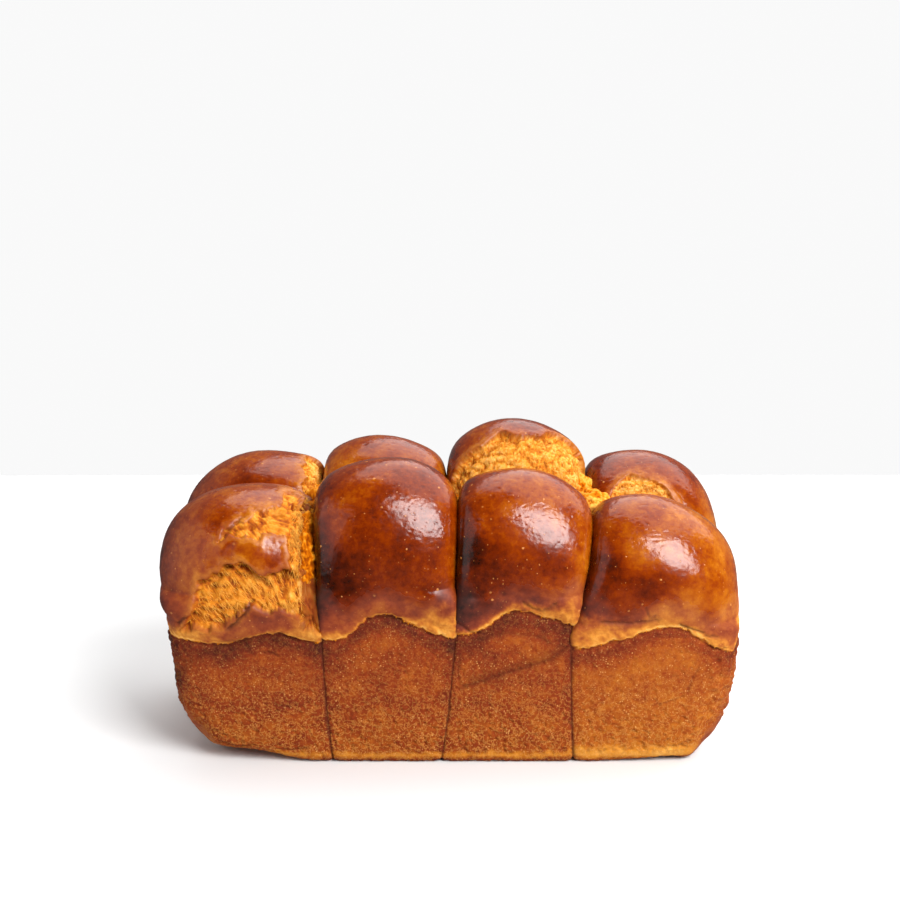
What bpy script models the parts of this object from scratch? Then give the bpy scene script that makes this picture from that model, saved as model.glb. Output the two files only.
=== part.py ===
# Brioche loaf: eight balls of dough, set in two rows of four, that proved and baked together in a
# loaf tin. The tin shaped flat sides up to its rim, and above it each ball swelled into a dome.
# Where neighbours pulled apart the crust tore and shows crumb, which is relief in the one solid.
# Front is -Y, the loaf's length runs along X, and it stands on z = 0.

import bmesh
import bpy
import numpy as np
from mathutils import Vector, noise

MM = 0.001

# Half sizes of the loaf from its middle: at the foot, at the tin's rim, and where the domes are widest
LEFT_WALL = (120 * MM, 124 * MM, 131.5 * MM)
RIGHT_WALL = (123.5 * MM, 127.5 * MM, 131.5 * MM)
SIDE_WALL = (51.5 * MM, 54 * MM, 59.5 * MM)
RIM_HEIGHT = 60 * MM
SWELL_RISE = 26 * MM
CORE_HEIGHT = 62 * MM

# Seams between neighbouring balls: their x in mm at these heights
SEAM_HEIGHTS = np.array((0, 25, 60, 90, 120)) * MM
SEAMS = {
    "front": ((-52, -54.5, -56, -58.5, -60.5), (-4, -0.5, 2.5, 3, 4), (55, 53.5, 52.5, 61, 65)),
    "back": ((-53, -55, -57, -60, -61), (0, 0, -1, -1.5, -1.5), (54, 56, 60, 64, 66)),
}
SEAM_OVERLAP, ROW_OVERLAP = 0.7 * MM, 2 * MM

# Each ball in mm: row, column, top of its dome, height where the dome begins, x of its highest point,
# and the height of the rim line at its left seam, middle and right seam
BALLS = {
    "front_1": ("front", 0, 121.5, 80, -90, (63, 58, 60)),
    "front_2": ("front", 1, 134, 82, -29, (61, 70, 61)),
    "front_3": ("front", 2, 129, 79, 28, (61, 72, 64)),
    "front_4": ("front", 3, 116.5, 66, 85, (57, 66, 58)),
    "back_1": ("back", 0, 125.5, 80, -88, (57, 66, 60)),
    "back_2": ("back", 1, 133, 82, -33, (60, 71, 62)),
    "back_3": ("back", 2, 141.5, 84, 31, (62, 70, 60)),
    "back_4": ("back", 3, 125.5, 77, 92, (60, 67, 60)),
}
CROWN_OUT = 27 * MM
SEAM_REACH = 48 * MM
FULLER_REACH = 56 * MM
FULLER = (("front_1", 1), ("back_1", 1), ("back_4", -1))
OUTER_REACH = 1.05
INNER_REACH = 40 * MM

# Rounding, as powers of a superellipse: higher is sharper
TIN_SHARPNESS, DOME_SHARPNESS = 28, 12
CORNER_SHARPNESS = 6.5
END_FOOT_SHARPNESS, SIDE_FOOT_SHARPNESS = 4.3, 24

# The front left and right bottom edges sit off the table: how far, and over what length
LEFT_LIFT, RIGHT_LIFT = 6 * MM, 2.2 * MM

# Torn places in mm, as outlines in x and z on the front, and in x and y on the tops
FRONT_TEAR = ((-117, 63), (-110, 74), (-108, 85), (-97, 94), (-86, 94), (-77, 89.5), (-68, 91), (-69, 103),
              (-72, 117), (-52, 118), (-54, 62), (-65, 68), (-78, 73), (-86, 76), (-93, 69), (-105, 65))
UPPER_TEAR = ((-98, 104.5), (-86, 115), (-80, 114.5), (-73, 114), (-73, 106), (-84, 106.5))
CROWN_TEAR = ((-4, -8), (0, 9), (7, 8.5), (17, 10), (24, 14), (31, 11), (43, 12.5), (47, 19), (59, 22),
              (72, 26), (72, -8))
RIGHT_TEAR = ((64, -8), (66, 30), (76, 15), (84, 6), (92, 5), (99, 2), (110, -8))
LEFT_TEAR = ((-73, -8), (-74, 12), (-70, 30), (-50, 34), (-52, -8))

# Folds and cracks of the front sides in mm, as lines in x and z
FOLDS = {
    "front_1": (((-119, 43), (-111, 50), (-100, 55), (-89, 58)),),
    "front_3": (((4, 36), (22, 42), (45, 50)), ((7, 56), (25, 62), (37, 60.5), (44, 57))),
    "front_4": (((60, 24), (75, 21), (92, 27)),),
}
FOLD_DEPTH = 1.1 * MM
TEAR_DEPTH = 3.6 * MM
LIP_HEIGHT = 0.9 * MM
CRAG_HEIGHT = 1.5 * MM

CRUST_COLOUR = (0.32, 0.11, 0.025, 1)

# Grain of the joined skin, and about how many triangles the finished solid keeps
GRAIN = 0.9 * MM
TRIANGLES = 11600

# Lumps of torn crumb in the hollows between the domes, in mm: middle and half sizes
LUMPS = (((-61, -2, 99), (11, 24, 15)), ((-63, -32, 88), (7, 20, 23)), ((-64, 14, 102), (8, 12, 10)),
         ((2, -1, 99), (8, 9, 11)), ((67, 2, 99), (12, 20, 13)), ((66, -12, 104), (8, 9, 8)),
         ((72, 14, 104), (9, 11, 8)))


def smooth(t):
    t = np.clip(t, 0, 1)
    return t * t * (3 - 2 * t)


def bump(t):
    return np.exp(-t * t)


def wall(z, sizes, rim):
    # Half size of the loaf at height z: tapered in the tin, then swelling out over its rim
    foot, top, widest = sizes
    in_tin = np.clip(z / RIM_HEIGHT, 0, 1)
    over = np.clip((z - rim) / SWELL_RISE, 0, 1)
    return foot + (top - foot) * in_tin + (widest - top) * over * (2 - over)


def rim_line(along, heights):
    # Height of the line where the dough left the tin, arched from seam to seam
    left, middle, right = (height * MM for height in heights)
    straight = left + (right - left) * (along + 1) / 2
    return straight + (middle - (left + right) / 2) * (1 - along ** 2)


def end_rim_line(outward):
    return RIM_HEIGHT - 1 * MM + 5 * MM * (1 - (outward / (30 * MM) - 1) ** 2)


def seams_of(ball, z):
    # x of a ball's left and right limits at height z; None where it meets the tin's end
    row, column = BALLS[ball][:2]
    left = np.interp(z, SEAM_HEIGHTS, SEAMS[row][column - 1]) * MM - SEAM_OVERLAP if column else None
    right = np.interp(z, SEAM_HEIGHTS, SEAMS[row][column]) * MM + SEAM_OVERLAP if column < 3 else None
    return left, right


def limits_of(ball, outward, z):
    left, right = seams_of(ball, z)
    if left is None:
        left = -wall(z, LEFT_WALL, end_rim_line(outward) + 7 * MM)
    if right is None:
        right = wall(z, RIGHT_WALL, end_rim_line(outward))
    return left, right


def lift_of(row, x, outward):
    # How far the underside rises off the table
    if row == "back":
        return 0 * x
    near_edge = smooth((outward - 26 * MM) / (24 * MM))
    at_left = smooth((-58 * MM - x) / (34 * MM))
    at_right = smooth((x - 62 * MM) / (40 * MM)) - 1.1 * bump((x - 107 * MM) / (5 * MM))
    return near_edge * (LEFT_LIFT * at_left + RIGHT_LIFT * np.clip(at_right, 0, 1))


def place_in(ball, points):
    # A point's place in its ball: along from -1 at its left side to 1 at its right, across from -1 at the
    # loaf's middle to 1 at its outer side, and its distance from the loaf's middle plane
    row, _, _, _, _, rim = BALLS[ball]
    x, y, z = points.T
    outward = y * (-1 if row == "front" else 1)
    left, right = limits_of(ball, outward, z)
    along = (2 * x - left - right) / (right - left)
    side = wall(z, SIDE_WALL, rim_line(np.clip(along, -1, 1), rim))
    return along, (2 * outward - side + ROW_OVERLAP) / (side + ROW_OVERLAP), outward


def field(ball, points):
    # Below 1 inside the ball, 1 on its surface
    row, column, top, equator, crown_x, _ = BALLS[ball]
    top, equator, crown_x = top * MM, equator * MM, crown_x * MM
    x, _, z = points.T
    along, across, outward = place_in(ball, points)
    down = np.clip((CORE_HEIGHT - z) / (CORE_HEIGHT - lift_of(row, x, outward)), 0, None)

    rise = np.clip((z - equator) / (top - equator), 0, None)
    spread = 1 + np.clip(equator - z, 0, None) / (30 * MM)
    reach_left, reach_right = (FULLER_REACH if (ball, side) in FULLER else SEAM_REACH for side in (-1, 1))
    reach_left = reach_left if column else OUTER_REACH * (LEFT_WALL[2] + crown_x)
    reach_right = reach_right if column < 3 else OUTER_REACH * (RIGHT_WALL[2] - crown_x)
    reach_out = OUTER_REACH * (SIDE_WALL[2] - CROWN_OUT)
    in_x = (x - crown_x) / np.where(x < crown_x, reach_left, reach_right) / spread
    in_y = (outward - CROWN_OUT) / np.where(outward > CROWN_OUT, reach_out, INNER_REACH) / spread
    dome = np.sqrt(in_x ** 2 + in_y ** 2 + rise ** 2)

    end = np.clip(-along if column == 0 else along, 0, None) if column in (0, 3) else 0 * along
    front = np.clip(across, 0, None)
    outer = (end ** CORNER_SHARPNESS + front ** CORNER_SHARPNESS) ** (1 / CORNER_SHARPNESS)
    at_end = smooth(end / 0.75)
    foot = SIDE_FOOT_SHARPNESS + (END_FOOT_SHARPNESS - SIDE_FOOT_SHARPNESS) * at_end
    body = (outer ** foot + down ** foot) ** (1 / foot)
    seam = np.abs(along) * (end == 0)
    inner = np.clip(-across, 0, None)
    sharp = TIN_SHARPNESS + (DOME_SHARPNESS - TIN_SHARPNESS) * smooth((z - RIM_HEIGHT + 8 * MM) / (30 * MM))
    return sum(part ** sharp for part in (body, seam, inner, dome)) ** (1 / sharp)


def heart_of(ball):
    left, right = limits_of(ball, np.array((30 * MM,)), np.array((CORE_HEIGHT,)))
    side = -1 if BALLS[ball][0] == "front" else 1
    return np.array(((left[0] + right[0]) / 2, side * SIDE_WALL[1] / 2, CORE_HEIGHT))


def cast(ball, directions):
    # Points where rays from the ball's heart leave it
    near, far = np.zeros(len(directions)), np.full(len(directions), 200 * MM)
    heart = heart_of(ball)
    for _ in range(34):
        middle = (near + far) / 2
        inside = field(ball, heart + directions * middle[:, None]) < 1
        near, far = np.where(inside, middle, near), np.where(inside, far, middle)
    return heart + directions * near[:, None]


def inside_by(a, b, outline):
    # How far a point lies inside an outline: negative outside it
    corners = np.array(outline) * MM
    ends = np.roll(corners, -1, axis=0)
    nearest = np.full(len(a), 1.0)
    crossings = np.zeros(len(a), int)
    for (x0, y0), (x1, y1) in zip(corners, ends):
        share = ((a - x0) * (x1 - x0) + (b - y0) * (y1 - y0)) / ((x1 - x0) ** 2 + (y1 - y0) ** 2)
        share = np.clip(share, 0, 1)
        nearest = np.minimum(nearest, np.hypot(a - x0 - share * (x1 - x0), b - y0 - share * (y1 - y0)))
        spans = (y0 > b) != (y1 > b)
        crossings += spans & (a < (x1 - x0) * (b - y0) / (y1 - y0 + 1e-12) + x0)
    return np.where(crossings % 2 == 1, nearest, -nearest)


def from_line(a, b, line):
    # Distance from a line through these points
    corners = np.array(line) * MM
    nearest = np.full(len(a), 1.0)
    for (x0, y0), (x1, y1) in zip(corners, corners[1:]):
        share = ((a - x0) * (x1 - x0) + (b - y0) * (y1 - y0)) / ((x1 - x0) ** 2 + (y1 - y0) ** 2)
        share = np.clip(share, 0, 1)
        nearest = np.minimum(nearest, np.hypot(a - x0 - share * (x1 - x0), b - y0 - share * (y1 - y0)))
    return nearest


def torn_by(ball, points):
    # How far a point lies inside the torn places of its ball
    x, y, z = points.T
    wave = 1.2 * MM * np.sin(x / (2.9 * MM) + y / (4 * MM)) + 0.7 * MM * np.sin(x / (1.3 * MM) + z / (2 * MM))
    found = np.full(len(x), -1.0)
    if ball == "front_1":
        seen = y < -12 * MM
        found = np.where(seen, inside_by(x, z + wave, FRONT_TEAR), found)
        found = np.where(seen, np.maximum(found, inside_by(x, z + wave, UPPER_TEAR)), found)
    elif ball == "back_1":
        found = np.where(z > 90 * MM, inside_by(x, y + wave, LEFT_TEAR), found)
    elif ball == "back_3":
        found = np.where(z > 90 * MM, inside_by(x, y + wave, CROWN_TEAR), found)
    elif ball == "back_4":
        found = np.where(z > 90 * MM, inside_by(x, y + wave, RIGHT_TEAR), found)
    return found


def crags(points):
    # Rough crumb: ridges and pits a few millimetres wide
    values = []
    for x, y, z in points / MM:
        place = Vector((x / 5, y / 5, z / 3.2))
        values.append(noise.noise(place) + 0.5 * noise.noise(place * 2.3))
    return np.array(values)


def swell(points):
    # Slow unevenness of hand shaped dough
    x, y, z = points.T / MM
    waves = np.sin(x / 9.5 + 0.6 * np.sin(z / 13)) * np.sin(z / 11 + y / 17)
    waves += 0.7 * np.sin(y / 8.3 + x / 21) * np.sin(x / 14 - z / 19 + 1)
    return 0.45 * MM * waves * smooth((z - 4) / 10)


def relief(ball, points):
    # How far the skin moves outward at each point
    _, column, _, _, _, rim = BALLS[ball]
    x, y, z = points.T
    along, across, outward = place_in(ball, points)
    to_end = -along if column == 0 else along if column == 3 else 0 * along
    on_side = smooth((outward - 46 * MM) / (5 * MM))
    on_end = smooth((to_end - 0.86) / 0.08) * (1 - on_side)
    moved = swell(points)

    for line in FOLDS.get(ball, ()):
        gap = from_line(x, z, line)
        moved -= FOLD_DEPTH * on_side * (bump(gap / (1.5 * MM)) - 0.5 * bump(gap / (4 * MM)))

    # The rim line: a groove, with the dome's foot bulging over it
    ragged = 1 * MM * np.sin((x + y) / (5.3 * MM)) + 0.7 * MM * np.sin((x - y) / (2.3 * MM) + 1)
    side_height = z - rim_line(np.clip(along, -1, 1), rim) - ragged
    end_height = z - end_rim_line(outward) - ragged
    away_from_corner = 1 - 0.9 * smooth((to_end - 0.8) / 0.15)
    for weight, height in ((on_side * away_from_corner, side_height), (0.6 * on_end, end_height)):
        moved -= 1.1 * MM * weight * bump((height + 0.3 * MM) / (2 * MM))
        moved += 0.9 * MM * weight * bump((height - 4.5 * MM) / (3 * MM))

    depth = torn_by(ball, points)
    torn = smooth(depth / (2.5 * MM) + 0.4)
    moved -= TEAR_DEPTH * torn * smooth(1.2 - depth / (22 * MM))
    moved += LIP_HEIGHT * bump((depth + 2.4 * MM) / (1.8 * MM)) + CRAG_HEIGHT * torn * crags(points)

    # Sides pressed against a neighbour stay as they are, so that no gap opens inside the loaf
    pressed = np.maximum(np.abs(along) * (to_end < 0.5), -across)
    return moved * (1 - smooth((pressed - 0.97) / 0.02) * smooth((104 * MM - z) / (8 * MM)))


# Where the cube that becomes a ball is sliced, as shares of its half size
ACROSS_CUTS = (0.96, 0.84, 0.58, 0.2, -0.2, -0.58, -0.84, -0.96)
HEIGHT_CUTS = (0.91, 0.74, 0.54, 0.38, 0.24, 0.13, 0.06, 0.005, -0.06, -0.35, -0.7, -0.93)


def sliced_cube():
    mesh = bmesh.new()
    bmesh.ops.create_cube(mesh, size=2)
    for axis, cuts in ((0, ACROSS_CUTS), (1, ACROSS_CUTS), (2, HEIGHT_CUTS)):
        normal = Vector([float(i == axis) for i in range(3)])
        for cut in cuts:
            everything = mesh.verts[:] + mesh.edges[:] + mesh.faces[:]
            bmesh.ops.bisect_plane(mesh, geom=everything, plane_co=normal * cut, plane_no=normal)
    return mesh


def on_ball(ball, mesh):
    # The cube's vertices sent out to the ball's skin, its middle slices following the rim line
    shares = np.array([vertex.co for vertex in mesh.verts])
    rim = BALLS[ball][5]
    end = BALLS[ball][1] in (0, 3)
    width = (35 if end else 29) * MM
    box = shares * np.array((width, SIDE_WALL[1] / 2, CORE_HEIGHT))
    to_rim = rim_line(shares[:, 0], rim) - RIM_HEIGHT
    if end:
        outward = SIDE_WALL[1] / 2 * (1 + shares[:, 1] * (-1 if BALLS[ball][0] == "front" else 1))
        out_x = shares[:, 0] * (-1 if BALLS[ball][1] == 0 else 1)
        to_rim += (end_rim_line(outward) - RIM_HEIGHT - to_rim) * smooth((out_x - 0.9) / 0.1)
    box[:, 2] += to_rim * np.clip(1 - np.abs(shares[:, 2]) / 0.3, 0, 1)
    return cast(ball, box / np.linalg.norm(box, axis=1)[:, None])


def make_ball(ball):
    mesh = sliced_cube()
    bmesh.ops.subdivide_edges(mesh, edges=mesh.edges[:], cuts=1, use_grid_fill=True)
    points = on_ball(ball, mesh)
    depths = torn_by(ball, points)
    finer = set()
    for face in mesh.faces:
        spots = [vertex.index for vertex in face.verts]
        if depths[spots].max() > -2.5 * MM:
            finer.update(face.edges)
    if finer:
        bmesh.ops.subdivide_edges(mesh, edges=list(finer), cuts=1, use_grid_fill=True)
        points = on_ball(ball, mesh)
    for vertex, point in zip(mesh.verts, points):
        vertex.co = point
    mesh.normal_update()
    normals = np.array([vertex.normal for vertex in mesh.verts])
    points += normals * relief(ball, points)[:, None]
    points[:, 2] = np.where(points[:, 2] < 0.3 * MM, 0, points[:, 2])
    for vertex, point in zip(mesh.verts, points):
        vertex.co = point
    data = bpy.data.meshes.new(ball)
    mesh.to_mesh(data)
    mesh.free()
    return bpy.data.objects.new(ball, data)


def make_lump(middle, sizes):
    mesh = bmesh.new()
    bmesh.ops.create_icosphere(mesh, subdivisions=3, radius=1)
    directions = np.array([vertex.co for vertex in mesh.verts])
    points = directions * np.array(sizes) * MM + np.array(middle) * MM
    points += directions * (CRAG_HEIGHT * crags(points))[:, None]
    for vertex, point in zip(mesh.verts, points):
        vertex.co = point
    data = bpy.data.meshes.new("lump")
    mesh.to_mesh(data)
    mesh.free()
    return bpy.data.objects.new("lump", data)


def make_core():
    # Crumb in the middle of the loaf, which closes the gaps where four balls' corners meet
    mesh = bmesh.new()
    bmesh.ops.create_cube(mesh, size=1)
    bmesh.ops.scale(mesh, vec=(212 * MM, 84 * MM, 80 * MM), verts=mesh.verts)
    bmesh.ops.translate(mesh, vec=(2 * MM, 0, 50 * MM), verts=mesh.verts)
    data = bpy.data.meshes.new("core")
    mesh.to_mesh(data)
    mesh.free()
    return bpy.data.objects.new("core", data)


def drop_pockets(mesh):
    # Removes the skins of pockets sealed between the balls, which aren't joined to the outer skin
    left = set(mesh.verts)
    shells = []
    while left:
        shell, edge = set(), [left.pop()]
        while edge:
            vertex = edge.pop()
            shell.add(vertex)
            near = {other for link in vertex.link_edges for other in link.verts} & left
            left -= near
            edge.extend(near)
        shells.append(shell)
    shells.sort(key=len)
    for shell in shells[:-1]:
        bmesh.ops.delete(mesh, geom=list(shell), context="VERTS")


def settle(thing):
    # Takes the result of a thing's modifiers as its mesh
    graph = bpy.context.evaluated_depsgraph_get()
    data = bpy.data.meshes.new_from_object(thing.evaluated_get(graph))
    thing.modifiers.clear()
    thing.data = data


for old in list(bpy.data.objects):
    bpy.data.objects.remove(old)

brioche = bpy.data.collections.new("brioche")
pieces = bpy.data.collections.new("pieces")
bpy.context.scene.collection.children.link(brioche)
bpy.context.scene.collection.children.link(pieces)

made = [make_ball(ball) for ball in BALLS]
made += [make_lump(middle, sizes) for middle, sizes in LUMPS] + [make_core()]
loaf = made[0]
loaf.name = "brioche_loaf"
brioche.objects.link(loaf)
for piece in made[1:]:
    pieces.objects.link(piece)
join = loaf.modifiers.new("join", "BOOLEAN")
join.operation = "UNION"
join.operand_type = "COLLECTION"
join.collection = pieces
join.solver = "MANIFOLD"
settle(loaf)
for piece in made[1:]:
    bpy.data.objects.remove(piece)
bpy.data.collections.remove(pieces)

regrain = loaf.modifiers.new("regrain", "REMESH")
regrain.mode = "VOXEL"
regrain.voxel_size = GRAIN
settle(loaf)
thin = loaf.modifiers.new("thin", "DECIMATE")
thin.ratio = TRIANGLES / (2 * len(loaf.data.polygons))
settle(loaf)

skin = bmesh.new()
skin.from_mesh(loaf.data)
drop_pockets(skin)
spots = np.array([vertex.co for vertex in skin.verts])
middle = (spots.min(axis=0) + spots.max(axis=0)) / 2
for vertex in skin.verts:
    vertex.co.x -= middle[0]
    vertex.co.y -= middle[1]
    vertex.co.z = 0 if vertex.co.z < 0.4 * MM else vertex.co.z
skin.to_mesh(loaf.data)
skin.free()

crust = bpy.data.materials.new("crust")
crust.use_nodes = True
look = crust.node_tree.nodes["Principled BSDF"]
look.inputs["Base Color"].default_value = CRUST_COLOUR
look.inputs["Roughness"].default_value = 0.35
loaf.data.materials.clear()
loaf.data.materials.append(crust)
for face in loaf.data.polygons:
    face.material_index = 0
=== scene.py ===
import math
from functools import partial

import bmesh
import bpy
import numpy as np
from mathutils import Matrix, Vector


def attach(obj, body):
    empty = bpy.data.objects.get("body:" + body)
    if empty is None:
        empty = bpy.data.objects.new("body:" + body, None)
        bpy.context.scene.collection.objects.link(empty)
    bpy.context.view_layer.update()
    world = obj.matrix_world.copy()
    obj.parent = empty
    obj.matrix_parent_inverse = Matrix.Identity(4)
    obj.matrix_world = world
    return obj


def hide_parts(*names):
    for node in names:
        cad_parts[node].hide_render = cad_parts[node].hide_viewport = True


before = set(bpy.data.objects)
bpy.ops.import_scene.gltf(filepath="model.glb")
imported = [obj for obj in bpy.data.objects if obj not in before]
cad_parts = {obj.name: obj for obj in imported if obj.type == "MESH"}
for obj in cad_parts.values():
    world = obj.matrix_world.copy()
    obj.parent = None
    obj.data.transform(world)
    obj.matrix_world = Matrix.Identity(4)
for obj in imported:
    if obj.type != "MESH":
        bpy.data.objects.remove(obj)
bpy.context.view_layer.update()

mm = 0.001
# The CAD solid was moved by this much in x and y to stand over the origin, so every piece is too
centring = (-0.45, 0.4, 0)

# The loaf's own sizes. Its walls are half sizes at the foot, at the tin's rim, and where the domes are
# widest. endToast is how brown its two ends are.
loaf = {
    "leftWall": (120, 124, 131.5),
    "rightWall": (123.5, 127.5, 131.5),
    "sideWall": (51.5, 54, 59.5),
    "rimHeight": 60,
    "swellRise": 26,
    "coreHeight": 62,
    "crownOut": 27,
    "seamReach": 48,
    "fullerReach": 56,
    "innerReach": 40,
    "outerReach": 1.05,
    "tinSharpness": 28,
    "domeSharpness": 12,
    "cornerSharpness": 6.5,
    "endFootSharpness": 4.3,
    "sideFootSharpness": 24,
    "leftLift": 6,
    "rightLift": 2.2,
    "seamOverlap": 0.7,
    "rowOverlap": 2,
    "endToast": 0.57,
}

# x of the seams between neighbouring balls at these heights
seamHeights = (0, 25, 60, 90, 120)
seams = {
    "front": ((-52, -54.5, -56, -58.5, -60.5), (-4, -0.5, 2.5, 3, 4), (55, 53.5, 52.5, 61, 65)),
    "back": ((-53, -55, -57, -60, -61), (0, 0, -1, -1.5, -1.5), (54, 56, 60, 64, 66)),
}

# One entry for each ball, named for its row and its place from the left. toast is how brown its dome is from
# 0 to 1, paintedTopSheen how much paler its top is painted as a sheen of the overhead lamp, and sideToast how
# brown its tin side is. fuller lists the sides, -1 for left and 1 for right, that lean out over a wide seam.
# spots are browner or paler patches of its outer face: x, z, radius and amount.
balls = {
    "front_1": {
        "top": 121.5, "equator": 80, "crownX": -90, "rim": (63, 58, 60), "fuller": (1,),
        "toast": 0.67, "paintedTopSheen": 0.09, "sideToast": 0.61,
        "spots": ((-118, 83, 15, -0.10), (-80, 104, 10, -0.08), (-121, 40, 5, 0.22)),
    },
    "front_2": {
        "top": 134, "equator": 82, "crownX": -29, "rim": (61, 70, 61), "fuller": (),
        "toast": 0.77, "paintedTopSheen": 0.11, "sideToast": 0.60,
        "spots": ((-50, 92, 9, 0.12), (-29, 71, 11, -0.15), (-38, 116, 13, -0.07), (-44, 80, 7, 0.08),
                  (-8, 76, 10, -0.12), (-14, 95, 9, -0.06), (-53, 66, 9, -0.13)),
    },
    "front_3": {
        "top": 129, "equator": 79, "crownX": 28, "rim": (61, 72, 64), "fuller": (),
        "toast": 0.75, "paintedTopSheen": 0.18, "sideToast": 0.60,
        "spots": ((9, 100, 9, 0.12), (57, 93, 9, -0.22), (14, 77, 7, 0.07), (47, 80, 9, -0.12),
                  (34, 74, 6, 0.06)),
    },
    "front_4": {
        "top": 116.5, "equator": 66, "crownX": 85, "rim": (57, 66, 58), "fuller": (),
        "toast": 0.71, "paintedTopSheen": 0.21, "sideToast": 0.50,
        "spots": ((70, 92, 7, 0.14), (84, 84, 8, 0.14), (89, 71, 8, -0.13), (120, 78, 16, -0.18),
                  (98, 69, 11, -0.17), (62, 66, 8, -0.12)),
    },
    "back_1": {
        "top": 125.5, "equator": 80, "crownX": -88, "rim": (57, 66, 60), "fuller": (1,),
        "toast": 0.64, "paintedTopSheen": 0.04, "sideToast": 0.55, "spots": ((-90, 80, 12, 0.08),),
    },
    "back_2": {
        "top": 133, "equator": 82, "crownX": -33, "rim": (60, 71, 62), "fuller": (),
        "toast": 0.61, "paintedTopSheen": 0.04, "sideToast": 0.53,
        "spots": ((-55, 118, 12, -0.22), (-20, 95, 9, 0.08)),
    },
    "back_3": {
        "top": 141.5, "equator": 84, "crownX": 31, "rim": (62, 70, 60), "fuller": (),
        "toast": 0.64, "paintedTopSheen": 0.04, "sideToast": 0.52,
        "spots": ((20, 80, 10, 0.08), (48, 78, 9, -0.12), (38, 139, 9, 0.13)),
    },
    "back_4": {
        "top": 125.5, "equator": 77, "crownX": 92, "rim": (60, 67, 60), "fuller": (-1,),
        "toast": 0.59, "paintedTopSheen": 0.0, "sideToast": 0.55,
        "spots": ((80, 75, 9, -0.12), (118, 88, 16, -0.1)),
    },
}
for ballName, ballMade in balls.items():
    ballMade["row"], ballMade["column"] = ballName[:-2], int(ballName[-1]) - 1

# Torn places, as outlines in x and z on the front and in x and y on the tops. Each ends with how deep it is
# as a share of the full depth
tears = {
    "front_1": (
        (((-117, 63), (-110, 74), (-108, 85), (-97, 94), (-86, 94), (-77, 89.5), (-68, 91), (-69, 103),
          (-72, 117), (-52, 118), (-54, 60), (-62, 65), (-66, 71.5), (-78, 73.5), (-86, 76.5), (-93, 69),
          (-105, 65)), 0.85),
        (((-99, 104), (-92, 110), (-85, 113.5), (-79, 114.5), (-75, 117.5), (-66, 119), (-67, 105),
          (-80, 106), (-91, 105)), 0.35),
    ),
    "back_1": ((((-68, -8), (-66, 0), (-69.5, 5), (-67, 9), (-71, 14), (-68, 19), (-70.5, 25), (-69, 31),
                 (-50, 34), (-50, -8)), 0.6),),
    "back_3": ((((-4, -8), (0, 9), (7, 8.5), (17, 10), (24, 14), (31, 11), (43, 12.5), (47, 19), (59, 22),
                 (72, 26), (72, -8)), 0.8),),
    "back_4": ((((64, -8), (65, -4), (71, -3), (76, 3), (84, 7), (92, 5), (100, 3), (106, -1),
                 (112, -8)), 0.4),),
}
# Full depth of a tear, its raised lip, and how far its upper edges hang out over hollows. threadTilt is how
# far the threads of the front tear lean from upright, in radians, at these x
tear = {"depth": 3.6, "lip": 0.2, "ragged": 1.0, "overhang": 1.5, "hollow": 4.2,
        "threadTilt": ((-115, -95, -78, -66), (0.75, 0.6, 0.45, 0.03))}

# The ragged edge on the front where each dome left the tin: x, z, and over it the width and strength of
# the golden skin that stretched there last
edges = {
    "front_1": ((-122, 60, 5, 0.6), (-112, 58.5, 5, 0.65), (-103, 57.5, 4, 0.6), (-97, 56.5, 3, 0.5),
                (-91, 58.5, 1.5, 0.4), (-86, 60.5, 1, 0.2), (-80, 62, 2, 0.5), (-73, 62.5, 2.5, 0.4),
                (-66, 59.5, 4, 0.6), (-55, 57, 6, 0.8)),
    "front_2": ((-60, 59, 4, 0.9), (-50, 58.5, 4, 0.9), (-45, 60, 2, 0.5), (-40, 65, 1.2, 0.35),
                (-35.5, 69, 1, 0.4), (-28, 70.5, 1, 0.45), (-21.6, 68.5, 1.5, 0.5), (-14.3, 65, 5, 0.8),
                (-8, 62, 9, 1), (4, 59, 12, 1)),
    "front_3": ((0, 61, 3, 0.6), (9, 61.5, 2, 0.7), (16, 64.5, 2, 0.9), (21, 69, 2.5, 1), (27, 72, 4, 1),
                (35, 71.5, 5, 1), (41, 69, 6, 1), (46, 68.5, 7, 0.9), (52, 66, 9, 0.9), (58, 62, 10, 0.9)),
    "front_4": ((50, 55, 14, 0.9), (60, 55, 12, 0.9), (68, 57.5, 9, 0.8), (77, 59.5, 6, 0.75),
                (84, 62.5, 4, 0.6), (90, 64.3, 2, 0.5), (98, 65, 2, 0.5), (103, 63.5, 2.5, 0.7),
                (108, 60, 3.5, 0.8), (115, 55.5, 5, 0.8), (125, 52, 5, 0.8)),
}
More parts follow.
